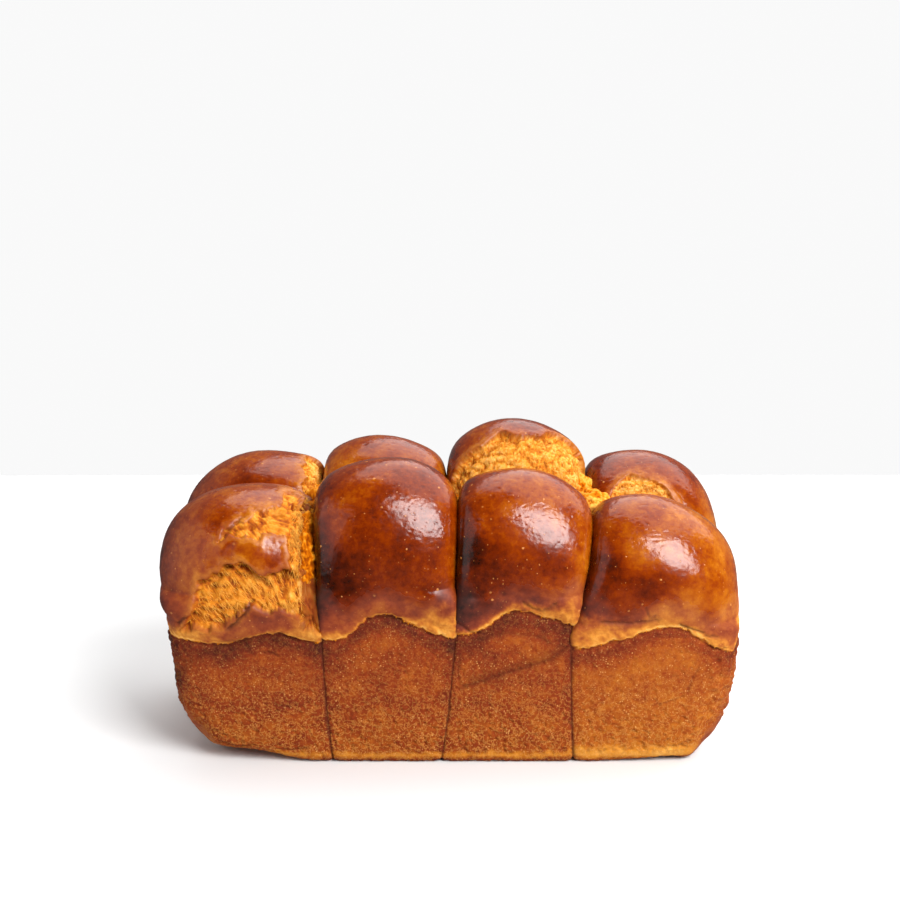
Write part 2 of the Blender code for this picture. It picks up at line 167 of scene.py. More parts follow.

# Cracks, folds and dark lines of the front: half width, depth in mm, darkness of the painted shade in them,
# # and x and z along the line
cracks = {
    "front_1": (
        (2.6, 1.0, 0.30, ((-121, 41), (-113, 49), (-100, 55), (-89, 58))),
        (0.7, 1.6, 0.75, ((-85, 78), (-88, 72), (-92, 68), (-97, 63.5))),
        (0.6, 0.7, 0.5, ((-82, 53), (-78, 52.5), (-74, 50.5))),
        (0.7, 0.8, 0.5, ((-76, 60), (-73, 61.5), (-70, 60), (-66, 58.5))),
        (0.5, 0.5, 0.4, ((-78, 29), (-73, 27.5), (-70, 27))),
        (0.6, 0.7, 0.45, ((-104, 10), (-96, 8), (-88, 7.5))),
        (0.5, 0.6, 0.4, ((-78, 7), (-70, 6.5), (-62, 7.5))),
        (0.6, 1.2, 0.8, ((-118, 66), (-116, 68.5), (-113.5, 70))),
        (0.6, 0.8, 0.6, ((-98, 105), (-92, 110.5), (-86, 115), (-78, 115))),
    ),
    "front_2": (
        (0.6, 0.5, 0.35, ((-33, 68.5), (-27, 69.5), (-20, 68))),
    ),
    "front_3": (
        (1.1, 0.9, 0.6, ((4, 36), (13, 39), (22, 42.5), (34, 46), (44, 49.5), (52, 56))),
        (3.0, 0.3, 0.36, ((6, 38), (22, 43.5), (34, 47.5), (44, 51.5), (51, 57))),
        (0.9, 0.5, 0.35, ((5, 54), (12, 59), (25, 62), (37, 60.5), (44, 57))),
        (0.6, 0.3, 0.25, ((5, 54), (3.5, 45), (4, 37))),
        (0.6, 1.0, 0.55, ((31, 77), (36, 73.5), (40, 72.5), (43, 74), (46, 77))),
        (0.6, 0.9, 0.5, ((1.5, 68), (6, 65), (9, 62.5), (16, 61.5))),
        (0.6, 0.3, 0.25, ((3, 20), (4, 10), (8, 5), (16, 5))),
    ),
    "front_4": (
        (0.7, 0.9, 0.5, ((64, 67.5), (70, 67.3), (78, 67), (85, 67.8), (91, 69))),
        (0.5, 0.6, 0.4, ((84, 75), (85, 71), (86.5, 69), (89, 71))),
        (0.6, 1.1, 0.65, ((99, 66.5), (103, 64.5), (107, 63.5), (110, 62))),
        (0.5, 0.8, 0.5, ((110, 61), (114, 60.5), (117, 60))),
        (0.5, 0.8, 0.45, ((112, 57), (115, 54.5), (118, 54), (121, 55))),
        (0.5, 0.5, 0.35, ((109, 46), (106, 40), (104, 33))),
        (0.5, 0.4, 0.3, ((104, 33), (98, 30.5), (90, 28))),
        (0.6, 0.5, 0.2, ((88, 9), (95, 8), (108, 9))),
    ),
}


def smooth(t):
    t = np.clip(t, 0, 1)
    return t * t * (3 - 2 * t)


def bump(t):
    return np.exp(-t * t)


def unit(vectors):
    return vectors / np.maximum(np.linalg.norm(vectors, axis=-1, keepdims=True), 1e-9)


def grain(points, size, seed=0):
    # Smooth random values from about -1 to 1, in lumps this many mm wide
    place = points / np.asarray(size, float) + (seed * 13.7, seed * 7.9 + 0.5, seed * 3.3)
    corner0 = np.floor(place)
    inside = place - corner0
    fade = inside ** 3 * (inside * (inside * 6 - 15) + 10)
    cell = corner0.astype(np.int64)
    total = np.zeros(len(points))
    for corner in np.ndindex(2, 2, 2):
        key = (cell + corner) @ np.array((374761393, 668265263, 1442695041))
        key = (key ^ (key >> 13)) * 1274126177
        key = key ^ (key >> 16)
        slopes = np.stack([key >> shift & 255 for shift in (2, 11, 20)], axis=1) / 127.5 - 1
        share = np.prod(np.where(np.array(corner) == 1, fade, 1 - fade), axis=1)
        total += share * ((inside - corner) * slopes).sum(axis=1)
    return 1.7 * total


def lumps(points, size, seed=0):
    # Rounded lumps with sharp creases between them, from 0 to about 1
    return np.clip(np.abs(grain(points, size, seed)) * 1.8, 0, 1.2)


def ridges(points, size, seed=0):
    # Thin crests, from 0 to 1
    return np.clip(1 - 2.2 * np.abs(grain(points, size, seed)), 0, 1)


def wall(z, sizes, rim):
    foot, top, widest = sizes
    inTin = np.clip(z / loaf["rimHeight"], 0, 1)
    over = np.clip((z - rim) / loaf["swellRise"], 0, 1)
    return foot + (top - foot) * inTin + (widest - top) * over * (2 - over)


def rimLine(along, heights):
    left, middle, right = heights
    straight = left + (right - left) * (along + 1) / 2
    return straight + (middle - (left + right) / 2) * (1 - along ** 2)


def endRimLine(outward):
    return loaf["rimHeight"] - 1 + 5 * (1 - (outward / 30 - 1) ** 2)


def limitsOf(ball, outward, z):
    # x of the ball's left and right side at a height
    row, column = balls[ball]["row"], balls[ball]["column"]
    if column:
        left = np.interp(z, seamHeights, seams[row][column - 1]) - loaf["seamOverlap"]
    else:
        left = -wall(z, loaf["leftWall"], endRimLine(outward) + 7)
    if column < 3:
        right = np.interp(z, seamHeights, seams[row][column]) + loaf["seamOverlap"]
    else:
        right = wall(z, loaf["rightWall"], endRimLine(outward))
    return left, right


def liftOf(row, x, outward):
    # How far the underside rises off the table
    if row == "back":
        return 0 * x
    nearEdge = smooth((outward - 26) / 24)
    atLeft = smooth((-58 - x) / 34)
    atRight = smooth((x - 62) / 40) - 1.1 * bump((x - 107) / 5)
    return nearEdge * (loaf["leftLift"] * atLeft + loaf["rightLift"] * np.clip(atRight, 0, 1))


def placeIn(ball, points):
    # along: -1 to 1 from the ball's left to its right; across: -1 at the loaf's middle, 1 at its outer side
    x, y, z = points.T
    outward = y * (-1 if balls[ball]["row"] == "front" else 1)
    left, right = limitsOf(ball, outward, z)
    along = (2 * x - left - right) / (right - left)
    side = wall(z, loaf["sideWall"], rimLine(np.clip(along, -1, 1), balls[ball]["rim"]))
    return along, (2 * outward - side + loaf["rowOverlap"]) / (side + loaf["rowOverlap"]), outward


def field(ball, points):
    # Below 1 inside the ball, 1 on its skin
    made = balls[ball]
    column, crownX = made["column"], made["crownX"]
    x, _, z = points.T
    along, across, outward = placeIn(ball, points)
    core = loaf["coreHeight"]
    down = np.clip((core - z) / (core - liftOf(made["row"], x, outward)), 0, None)

    rise = np.clip((z - made["equator"]) / (made["top"] - made["equator"]), 0, None)
    spread = 1 + np.clip(made["equator"] - z, 0, None) / 30
    reaches = [loaf["fullerReach"] if side in made["fuller"] else loaf["seamReach"] for side in (-1, 1)]
    if column == 0:
        reaches[0] = loaf["outerReach"] * (loaf["leftWall"][2] + crownX)
    if column == 3:
        reaches[1] = loaf["outerReach"] * (loaf["rightWall"][2] - crownX)
    reachOut = loaf["outerReach"] * (loaf["sideWall"][2] - loaf["crownOut"])
    fromCrown = outward - loaf["crownOut"]
    inX = (x - crownX) / np.where(x < crownX, reaches[0], reaches[1]) / spread
    inY = fromCrown / np.where(fromCrown > 0, reachOut, loaf["innerReach"]) / spread
    dome = np.sqrt(inX ** 2 + inY ** 2 + rise ** 2)

    end = np.clip(-along if column == 0 else along, 0, None) if column in (0, 3) else 0 * along
    corner = loaf["cornerSharpness"]
    outer = (end ** corner + np.clip(across, 0, None) ** corner) ** (1 / corner)
    sideFoot, endFoot = loaf["sideFootSharpness"], loaf["endFootSharpness"]
    foot = sideFoot + (endFoot - sideFoot) * smooth(end / 0.75)
    body = (outer ** foot + down ** foot) ** (1 / foot)
    seam = np.abs(along) * (end == 0)
    inner = np.clip(-across, 0, None)
    toDome = smooth((z - loaf["rimHeight"] + 8) / 30)
    sharp = loaf["tinSharpness"] + (loaf["domeSharpness"] - loaf["tinSharpness"]) * toDome
    return sum(part ** sharp for part in (body, seam, inner, dome)) ** (1 / sharp)


def cast(ball, directions):
    # Where rays from the ball's heart meet its skin
    core, half = loaf["coreHeight"], loaf["sideWall"][1] / 2
    left, right = limitsOf(ball, np.array((30.0,)), np.array((float(core),)))
    heart = np.array(((left[0] + right[0]) / 2, -half if balls[ball]["row"] == "front" else half, core))
    near, far = np.zeros(len(directions)), np.full(len(directions), 200.0)
    for _ in range(24):
        middle = (near + far) / 2
        inside = field(ball, heart + directions * middle[:, None]) < 1
        near, far = np.where(inside, middle, near), np.where(inside, far, middle)
    return heart + directions * near[:, None]


def fromLine(a, b, line):
    # Distance from a line of points, and how far along it the nearest place is, in points
    nearest, station = np.full(len(a), 1000.0), np.zeros(len(a))
    for index in range(len(line) - 1):
        (x0, y0), (x1, y1) = line[index][:2], line[index + 1][:2]
        share = ((a - x0) * (x1 - x0) + (b - y0) * (y1 - y0)) / ((x1 - x0) ** 2 + (y1 - y0) ** 2)
        share = np.clip(share, 0, 1)
        gap = np.hypot(a - x0 - share * (x1 - x0), b - y0 - share * (y1 - y0))
        station = np.where(gap < nearest, index + share, station)
        nearest = np.minimum(nearest, gap)
    return nearest, station


def insideBy(a, b, outline):
    # How far a point lies inside an outline: negative outside it
    nearest, _ = fromLine(a, b, outline + outline[:1])
    crossings = np.zeros(len(a), int)
    for (x0, y0), (x1, y1) in zip(outline, outline[1:] + outline[:1]):
        spans = (y0 > b) != (y1 > b)
        crossings += spans & (a < (x1 - x0) * (b - y0) / (y1 - y0 + 1e-9) + x0)
    return np.where(crossings % 2 == 1, nearest, -nearest)


def tornBy(ball, points, noise):
    # How far a point lies inside the torn places of its ball, and their depth; noise makes the edges ragged
    x, y, z = points.T
    found, share = np.full(len(x), -100.0), np.ones(len(x))
    front = balls[ball]["row"] == "front"
    wave = (1.0 if front else 0.25) * (1.2 * np.sin(x / 2.9 + y / 4) + 0.7 * np.sin(x / 1.3 + z / 2))
    for outline, deep in tears.get(ball, ()):
        inside = insideBy(x, (z if front else y) + wave, outline)
        inside = np.where(y < -12 if front else z > 90, inside, -100)
        share = np.where(inside > found, deep, share)
        found = np.maximum(found, inside)
    return found + tear["ragged"] * noise * (found > -50), share


def flowOf(ball, points):
    # Across, along and through the threads of the crumb: they ran the way that the dough was pulled
    x, y, z = points.T
    if ball == "front_1":
        tilt = np.interp(x, *tear["threadTilt"])
        return np.stack([(x + 85) * np.cos(tilt) + (z - 80) * np.sin(tilt),
                         (x + 85) * np.sin(tilt) - (z - 80) * np.cos(tilt), y], axis=1)
    return np.stack([x + 0.25 * z, 0.7 * (z - y), 0.7 * (z + y)], axis=1)


def crumbRelief(points, flow, fibrous):
    # Height of torn crumb over its own mean, and how near its crests it is from 0 to 1
    coarse = 0.85 * lumps(points, (6.5, 6.5, 5.5), 1) + 0.4 * lumps(points, 3.1, 2)
    threads = 0.6 * ridges(flow / np.array((1.7, 9, 4)), 1, 3)
    threads += 0.4 * ridges(flow / np.array((1.0, 6, 3)), 1, 4)
    grains = 0.55 * lumps(points, 1.9, 5) + 0.35 * lumps(points, 1.2, 6)
    fine = fibrous * threads + (1 - fibrous) * grains
    return coarse + fine - 0.8, np.clip((0.45 * coarse + fine) / 0.95, 0, 1)


def swell(points):
    # Slow unevenness of hand shaped dough
    x, y, z = points.T
    waves = np.sin(x / 9.5 + 0.6 * np.sin(z / 13)) * np.sin(z / 11 + y / 17)
    waves += 0.7 * np.sin(y / 8.3 + x / 21) * np.sin(x / 14 - z / 19 + 1)
    return 0.45 * waves * smooth((z - 4) / 10)


def edgeOf(ball, x, along, outward, onEnd):
    # Height of the edge where the dome left the tin, and the width and strength of the gold over it
    made = balls[ball]
    if ball in edges:
        xs, heights, widths, strengths = np.array(edges[ball]).T
        edge, width, strength = (np.interp(x, xs, values) for values in (heights, widths, strengths))
    else:
        edge = rimLine(np.clip(along, -1, 1), made["rim"])
        toSeam = smooth(np.abs(along) * 1.3 - 0.3)
        width, strength = 2 + 6 * toSeam, 0.5 + 0.5 * toSeam
    endEdge = endRimLine(outward)
    return edge + (endEdge - edge) * onEnd, width + (4 - width) * onEnd, strength + (0.7 - strength) * onEnd


# How finely each ball's cube is cut before its seen faces are halved once more, and the cube's half widths
grid = {"cuts": (55, 55, 104), "endHalfWidth": 35, "halfWidth": 29}


def griddedCube():
    mesh = bmesh.new()
    bmesh.ops.create_cube(mesh, size=2)
    for axis, cuts in enumerate(grid["cuts"]):
        lined = [edge for edge in mesh.edges if abs(edge.verts[0].co[axis] - edge.verts[1].co[axis]) > 0.001]
        bmesh.ops.subdivide_edges(mesh, edges=lined, cuts=cuts, use_grid_fill=True)
    return mesh


def halveSeen(mesh, ball):
    # The outer side, the top, the loaf's end and the upper part of the sides that face a neighbour
    out = -1 if balls[ball]["row"] == "front" else 1
    column = balls[ball]["column"]
    seen = set()
    for face in mesh.faces:
        x, y, z = face.calc_center_median()
        isEnd = (column == 0 and x < -0.999) or (column == 3 and x > 0.999)
        if y * out > 0.999 or z > 0.999 or isEnd or (z > 0.35 and abs(z) < 0.999):
            seen.update(face.edges)
    bmesh.ops.subdivide_edges(mesh, edges=list(seen), cuts=1, use_grid_fill=True)


def meshData(mesh, name):
    data = bpy.data.meshes.new(name)
    mesh.to_mesh(data)
    mesh.free()
    return data


def vectorsOf(items, name):
    values = np.empty(len(items) * 3, np.float32)
    items.foreach_get(name, values)
    return values.reshape(-1, 3).astype(float)


def placePoints(data, points):
    data.vertices.foreach_set("co", ((points + np.array(centring)) * mm).astype(np.float32).ravel())
    data.update()


def setAttributes(data, values):
    for name, value in values.items():
        isVector = value.ndim == 2
        made = data.attributes.new(name, "FLOAT_VECTOR" if isVector else "FLOAT", "POINT")
        made.data.foreach_set("vector" if isVector else "value", value.astype(np.float32).ravel())


def finishPiece(data, *materials):
    # Puts a mesh in the scene as a smooth piece of the loaf
    for material in materials:
        data.materials.append(material)
    data.polygons.foreach_set("use_smooth", np.ones(len(data.polygons), bool))
    data.update()
    piece = bpy.data.objects.new(data.name, data)
    bpy.context.scene.collection.objects.link(piece)
    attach(piece, "root")
    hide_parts("brioche_loaf")
    print(piece.name, len(data.vertices), "points,", len(data.loops) - 2 * len(data.polygons), "triangles")


def browningAndPaintedLight(ball, points, along, height, seed):
    # How brown the dome and the tin side are at each point, from pale gold at 0 to nearly black at 1: their
    # baked
    #     # colour with painted shade, painted light and a painted sheen on the tops laid into it
    made = balls[ball]
    x, y, z = points.T
    # The top of each dome is paler: a painted sheen of the overhead lamp
    dome = made["toast"] - made["paintedTopSheen"] * smooth((z - made["top"] + 38) / 24)
    dome += 0.10 * grain(points, 17, seed) + 0.08 * grain(points, 8, seed + 1)
    dome += 0.05 * grain(points, (3.5, 3.5, 2.6), seed + 4)
    onFace = smooth((np.abs(y) - 30) / 16)
    side = loaf["endToast"] + (made["sideToast"] - loaf["endToast"]) * onFace
    side += 0.06 * grain(points, (16, 16, 10), seed + 2) + 0.05 * grain(points, 5, seed + 3)
    side += 0.18 * bump((height + 3.5) / 5) + 0.06 * smooth((np.abs(along) - 0.8) / 0.15)
    side -= 0.05 * smooth((30 - z) / 20)
    # A golden band above the foot, higher towards the right, and painted shade along the foot where the
    # underside curves in
    ragged = 1.6 * grain(points, 4, seed + 9)
    side -= 0.34 * smooth((np.where(x > 52, 11, 6.5) + ragged - z) / np.where(x > 52, 7, 2.5))
    side += 0.45 * smooth((4 + 0.6 * ragged - z) / 2.6)
    for spotX, spotZ, radius, amount in made["spots"]:
        near = bump(np.hypot(x - spotX, z - spotZ) / radius)
        dome += amount * near * (z > 50)
        side += amount * near * (z < 60) * onFace
    # Painted shade browns each dome's left side, painted light pales its right, and dough that left the tin
    # late is lighter
    dome += np.interp(along, (-1, -0.6, 0.6, 1), (0.18, 0, 0, -0.14)) * smooth((z - 55) / 20)
    dome -= 0.16 * np.exp(-np.clip(height, 0, None) / 9)
    return dome, side


# The skin of the balls, in mm: how ragged its edge over the tin side is, heights and depths of its forms, and
# the sizes of its wrinkles and pits. bulge is a fuller place of front_1: x, z, radius and height.
skinLook = {
    "edgeRagged": (0.8, 0.35),
    "groove": 0.9,
    "step": 0.45,
    "footBulge": 0.4,
    "bulge": (-85, 98, 9, 1.3),
    "relief": 0.05,
    "wrinkleSize": (2.8, 1.4, 0.9),
    "wrinkle": 0.11,
    "pitSize": (2.2, 2.2, 1.7),
    "pit": 0.35,
    "tinRough": (0.14, 0.13),
    "cornerRough": (0.9, 0.6),
}
tornPoints = []
rimPoints = []


def castBall(ball):
    # The ball's gridded cube sent out to its plain skin
    mesh = griddedCube()
    halveSeen(mesh, ball)
    data = meshData(mesh, "ball_" + ball)
    halfWidth = grid["endHalfWidth" if balls[ball]["column"] in (0, 3) else "halfWidth"]
    box = vectorsOf(data.vertices, "co") * np.array((halfWidth, loaf["sideWall"][1] / 2, loaf["coreHeight"]))
    points = cast(ball, unit(box))
    data.vertices.foreach_set("co", points.astype(np.float32).ravel())
    data.update()
    return data, points, vectorsOf(data.vertex_normals, "vector")


def towardsMiddle(ball, points, axes):
    # Which way each point of a torn place lies from its nearest edge
    slopes = []
    for axis in axes:
        step = np.zeros(3)
        step[axis] = 0.6
        slopes.append(tornBy(ball, points + step, 0)[0] - tornBy(ball, points - step, 0)[0])
    slopes = np.stack(slopes, axis=1)
    return slopes / np.maximum(np.linalg.norm(slopes, axis=1), 0.2)[:, None]


def crackedBy(ball, x, z):
    # How much painted shade lies in the cracks and folds of the front, and how deep they are
    dark, inward = np.zeros(len(x)), np.zeros(len(x))
    for width, deep, darkness, line in cracks.get(ball, ()):
        gap, station = fromLine(x, z, line)
        near = smooth(np.minimum(station, len(line) - 1 - station) * 2.5 + 0.35) * bump(gap / width)
        dark, inward = np.maximum(dark, darkness * near), np.maximum(inward, deep * near)
    return dark, inward


def dressBall(ball, glazed, bare, seed):
    made, look = balls[ball], skinLook
    front = made["row"] == "front"
    data, points, normals = castBall(ball)
    x, y, z = points.T
    along, across, outward = placeIn(ball, points)
    toEnd = -along if made["column"] == 0 else along if made["column"] == 3 else 0 * along
    onSide = smooth((outward - 46) / 5)
    onEnd = smooth((toEnd - 0.86) / 0.08) * (1 - onSide)
    outer = np.clip(onSide + onEnd, 0, 1)
    # Sides pressed against a neighbour stay as they are, so that no gap opens
    pressed = np.maximum(np.abs(along) * (toEnd < 0.5), -across)
    free = 1 - smooth((pressed - 0.97) / 0.02) * smooth((104 - z) / 8)
    rough3, rough1 = grain(points, 2.6, seed), grain(points, 1.2, seed + 5)
    edge, goldWidth, goldStrength = edgeOf(ball, x, along, outward, onEnd)
    height = z - edge - 0.7 * np.sin((x + y) / 5.3) * (not front)
    height -= look["edgeRagged"][0] * rough3 + look["edgeRagged"][1] * rough1
    flow = flowOf(ball, points)

    # The edge where the dome left the tin: a step with a groove under it, and the dome's foot over it
    moved = swell(points)
    if ball == "front_1":
        bulgeX, bulgeZ, radius, bulge = look["bulge"]
        moved += bulge * bump(np.hypot(x - bulgeX, z - bulgeZ) / radius)
    awayFromCorner = 1 - 0.9 * smooth((toEnd - 0.8) / 0.15)
    rimShare = onSide * awayFromCorner + 0.6 * onEnd
    moved -= look["groove"] * rimShare * bump((height + 0.9) / 1.3)
    moved += look["step"] * rimShare * smooth(height / 0.7 + 0.5) * bump(height / 6)
    moved += look["footBulge"] * rimShare * bump((height - 4.5) / 4)

    # Fine wrinkles on the domes, and pits where the tin pressed the skin, coarser at its foot and corners
    below = smooth(-height / 0.9 + 0.5) * outer
    wrinkles = smooth((grain(points, look["wrinkleSize"], seed + 10) - 0.5) / 0.14)
    wrinkles *= smooth((z - 95) / 20) * (1 - onEnd)
    domeSkin = look["relief"] * (grain(points, 3.1, seed + 6) + grain(points, 1.5, seed + 7))
    domeSkin -= look["wrinkle"] * wrinkles
    pits = smooth((grain(points, look["pitSize"], seed + 8) - 0.3) / 0.25)
    corner = onEnd + smooth((np.abs(x) - 108) / 12) * onSide
    tinSkin = look["tinRough"][0] * rough3 + look["tinRough"][1] * rough1 - look["pit"] * pits
    tinSkin *= 1 + 0.9 * smooth((38 - z) / 24)
    knobs, knobbly = look["cornerRough"]
    tinSkin += corner * (knobs * grain(points, 4.5, seed + 12) + knobbly * rough3)

    # Torn places, and the frayed golden skin that stretched along the edge
    level = 1 if front else np.clip(1.5 * normals[:, 2] - 0.2, 0.05, 1)
    depth, share = tornBy(ball, points, (0.8 * rough3 + 0.6 * rough1) * level)
    torn = smooth(depth / 0.9 + 0.5)
    frayed = height + goldWidth * (0.45 * grain(points, 5, seed + 16) + 0.3 * rough3)
    gold = goldStrength * (1 - smooth((frayed - 0.45 * goldWidth) / goldWidth)) * outer
    gold *= smooth(height / 0.6 + 0.5) * np.clip(0.8 + 0.5 * rough3 + 0.3 * rough1, 0, 1.1)
    fibrous = np.interp(x, (-112, -95), (0.25, 0.9)) if ball == "front_1" else np.full(len(x), 0.3)
    crumb, crest = crumbRelief(points, flow, fibrous)
    moved += (domeSkin + (tinSkin - domeSkin) * below) * (1 - torn)
    moved -= tear["depth"] * share * torn * smooth(1.2 - depth / 22)
    moved += tear["lip"] * bump((depth + 1.6) / 1.3) * (1 - torn)
    if not front:
        crumb = crumb + 0.7 * lumps(points, 7, seed + 14) + 0.35 * grain(points, 3.6, seed + 15)
    moved += torn * crumb * (0.2 + (1.1 if front else 0.8) * share) + 0.4 * gold * (1 - torn) * crumb

    # Upper edges of a tear hang out over hollows, which get a painted shadow; the crumb's pits get painted
    # shade
    dark = 0.4 * torn * smooth((0.3 - crest) / 0.3)
    axes = ((0, 2) if front else (0, 1)) if ball in tears else ()
    if axes:
        slopes = towardsMiddle(ball, points, axes)
        under = np.clip(-slopes[:, 1] + (0 if front else 0.4), 0, 1)
        patchy = smooth(grain(points, (5, 5, 3.5), seed + 11) * 1.6 + 0.55) * (1 if front else 0.4)
        hollow = under * patchy * bump((depth - 2.4 - 0.8 * rough3) / 2.1) * share * torn
        moved -= tear["hollow"] * hollow
        dark += 0.75 * hollow
    points = points + normals * (moved * free)[:, None]
    for number, axis in enumerate(axes):
        hang = tear["overhang"] * share * under * bump((depth + 0.4) / 0.8) * free
        hang *= np.clip(0.5 + 0.9 * rough3, 0, 1.3)
        points[:, axis] += np.clip(slopes[:, number], -1, 1) * hang

    dome, side = browningAndPaintedLight(ball, points, along, height, seed + 20)
    # toast is the baked browning with the painted shade, painted light and painted top sheen laid into it
    toast = dome + (side - dome) * below
    toast += 0.07 * wrinkles - 0.4 * gold * (1 - below)
    toast -= 0.16 * bump((depth + 1.2) / 2.2) * (1 - torn) + 0.2 * outer * bump((height - 0.5) / 0.7)
    # Cracks and folds are dented in, and painted shade is laid along them
    lines, inward = crackedBy(ball, x + 0.5 * rough3, z + 0.5 * rough1)
    points = points - normals * (inward * onSide * free)[:, None]
    # A painted shadow line lies in the groove under the step where the dome left the tin
    dark += lines * onSide + 0.4 * rimShare * bump((height + 0.7) / 0.6) * np.clip(0.35 + 1.1 * rough3, 0, 1)
    # Painted shade in the seams between neighbouring balls, and at the loaf's ends where the two rows meet
    seam = smooth((np.abs(along) + 0.012 * rough3 - 0.954) / 0.016) * onSide * (toEnd < 0.5)
    endSeam = bump(outward / 0.8) * onEnd * np.clip(0.6 + rough3, 0, 1)
    dark += (0.7 * seam + 0.6 * endSeam) * smooth((edge + 5 - z) / 5)
    if ball == "front_1":
        # The strip that was stretched along the seam is bright in places, and painted shade darkens it by the
        # seam, where the next dome shades the gap
        strip = smooth((x + 73) / 4) * smooth((100 - z) / 8)
        crest = crest - strip * (0.2 - 0.5 * smooth(grain(points, (2.2, 4, 7), seed + 13) * 2))
        crest -= 0.12 * smooth((-x - 84) / 8)
        dark += 0.8 * smooth((x + 66) / 4) * smooth((z - 62) / 6)
    elif not front:
        # The back row's crumb is paler, and back_4's paler still: painted light where the front domes shade
        # it
        crest = crest + (0.35 if ball == "back_4" else 0.2)
    points[:, 2] = np.where(points[:, 2] < 0.3, 0, points[:, 2])
    placePoints(data, points)

    dry = smooth((17 + 12 * smooth((np.abs(along) - 0.5) / 0.35) - height) / 15)
    dry = dry * np.clip(smooth((outward - 28) / 12) + onEnd, 0, 1)
    dry += 0.4 * bump((depth + 1) / 1.3) + 0.45 * smooth((-x - 98) / 18)
    setAttributes(data, {
        "torn": np.clip(torn + 0.3 * gold * smooth((goldStrength - 0.6) / 0.3), 0, 1),
        "crest": crest,
        "toast": toast,
        "tin": below,
        "dry": np.clip(dry, 0, 1),
        "dark": np.clip(dark, 0, 0.9),
        "flow": flow * mm,
    })
    finishPiece(data, glazed, bare)
    corners = np.empty(len(data.loops), np.int32)
    data.loops.foreach_get("vertex_index", corners)
    firsts = np.empty(len(data.polygons), np.int32)
    data.polygons.foreach_get("loop_start", firsts)
    isBare = ((below > 0.5) | (torn > 0.5))[corners[firsts]]
    data.polygons.foreach_set("material_index", isBare.astype(np.int32))

    # Where strands of crumb and shreds of the edge can grow
    chosen = np.flatnonzero((torn > 0.8) & (free > 0.5) & (share > 0.35) & (dark < 0.6))
    tornPoints.append((ball, points[chosen], normals[chosen], crest[chosen]))
    rim = np.flatnonzero((np.abs(height - 0.3) < 0.5) & (outer > 0.9) & (goldStrength > 0.45))
    rimPoints.append((points[rim], normals[rim]))


def linear(hexColour):
    # sRGB hex to the linear values that the shader takes
    parts = [int(hexColour[place:place + 2], 16) / 255 for place in (1, 3, 5)]
    return tuple(c / 12.92 if c <= 0.04045 else ((c + 0.055) / 1.055) ** 2.4 for c in parts) + (1,)


def fill(node, settings):
    # Sets a node's properties and its sockets' own values, and links the outputs that its sockets take.
    # A node given in place of an output stands for its first one.
    for name, value in settings.items():
        if name == "stops":
            while len(node.color_ramp.elements) < len(value):
                node.color_ramp.elements.new(0.5)
            for stop, (place, colour) in zip(node.color_ramp.elements, value):
                stop.position, stop.color = place, linear(colour)
        elif isinstance(name, str) and name not in node.inputs:
            setattr(node, name, value)
        elif isinstance(value, (bpy.types.Node, bpy.types.NodeSocket)):
            output = value.outputs[0] if isinstance(value, bpy.types.Node) else value
            node.id_data.links.new(output, node.inputs[name])
        else:
            node.inputs[name].default_value = value


def addNode(tree, kind, settings=()):
    # A second word in kind is what the node does, such as the operation of a Math node
    kind, *does = kind.split()
    node = tree.nodes.new("ShaderNode" + kind)
    if does:
        setattr(node, "data_type" if kind == "Mix" else "operation", does[0])
    fill(node, dict(settings))
    return node


def newMaterial(name):
    # The material, what adds a node to it, and its shader
    material = bpy.data.materials.new(name)
    material.use_nodes = True
    tree = material.node_tree
    return material, partial(addNode, tree), tree.nodes["Principled BSDF"]


# Brioche crust, brushed with egg: a thin hard glaze over brown skin, so the domes shine and the eye sees
# mottled red brown with pale pinprick blisters. Where the tin pressed it and where it tore it has no glaze,
# so it is dry, matte and pitted, and light seeps a little way into its open crumb.
# Each kind of spot has how far apart they are, how many show, and their smallest and largest radius, in mm.
crustLook = {
    "crumbSeeping": 0.35,
    "seepRadius": (1, 0.45, 0.15),
    "seepReach": 1.5 * mm,
    "ior": 1.45,
    "glazedSpecular": 0.5,
    "bareSpecular": 0.27,
    "stops": ((0.0, "#e0a64e"), (0.2, "#c98124"), (0.35, "#b06410"), (0.48, "#984804"), (0.6, "#822f00"),
              (0.72, "#691f00"), (0.86, "#471100"), (1.0, "#220700")),
    "crumbStops": ((0.0, "#863800"), (0.3, "#ac5602"), (0.6, "#cd7c12"), (0.85, "#e09a38"), (1.0, "#edb05a")),
    "bendSize": 1.3 * mm,
    "bend": 0.7 * mm,
    "mottle": 3.0 * mm,
    "freckle": 0.9 * mm,
    "mottling": (0.36, 0.16),
    "paler": 0.26,
    "blister": (4.6, 0.5, 0.3, 0.7),
    "pinprick": (2.1, 0.75, 0.14, 0.36),
    "dash": (2.0, 0.5, 0.16, 0.4),
    "speckle": (1.0, 0.75, 0.12, 0.42),
    "patch": 7 * mm,
    "network": 2.4 * mm,
    "threadWidth": 0.45 * mm,
    "crumbGrain": 0.8 * mm,
    "wrinkle": 1.1 * mm,
    "blisterColour": "#d28a42",
    "speckleColour": "#d49a54",
    "networkColour": "#c28238",
    "crumbShadeColour": "#7c3000",
    "paintedShadeColour": "#4a1602",
    "glazeRoughness": 0.07,
    "dryRoughness": 0.68,
    "crumbRoughness": 0.78,
    "reliefStrength": 0.55,
    "reliefHeight": 0.16 * mm,
}


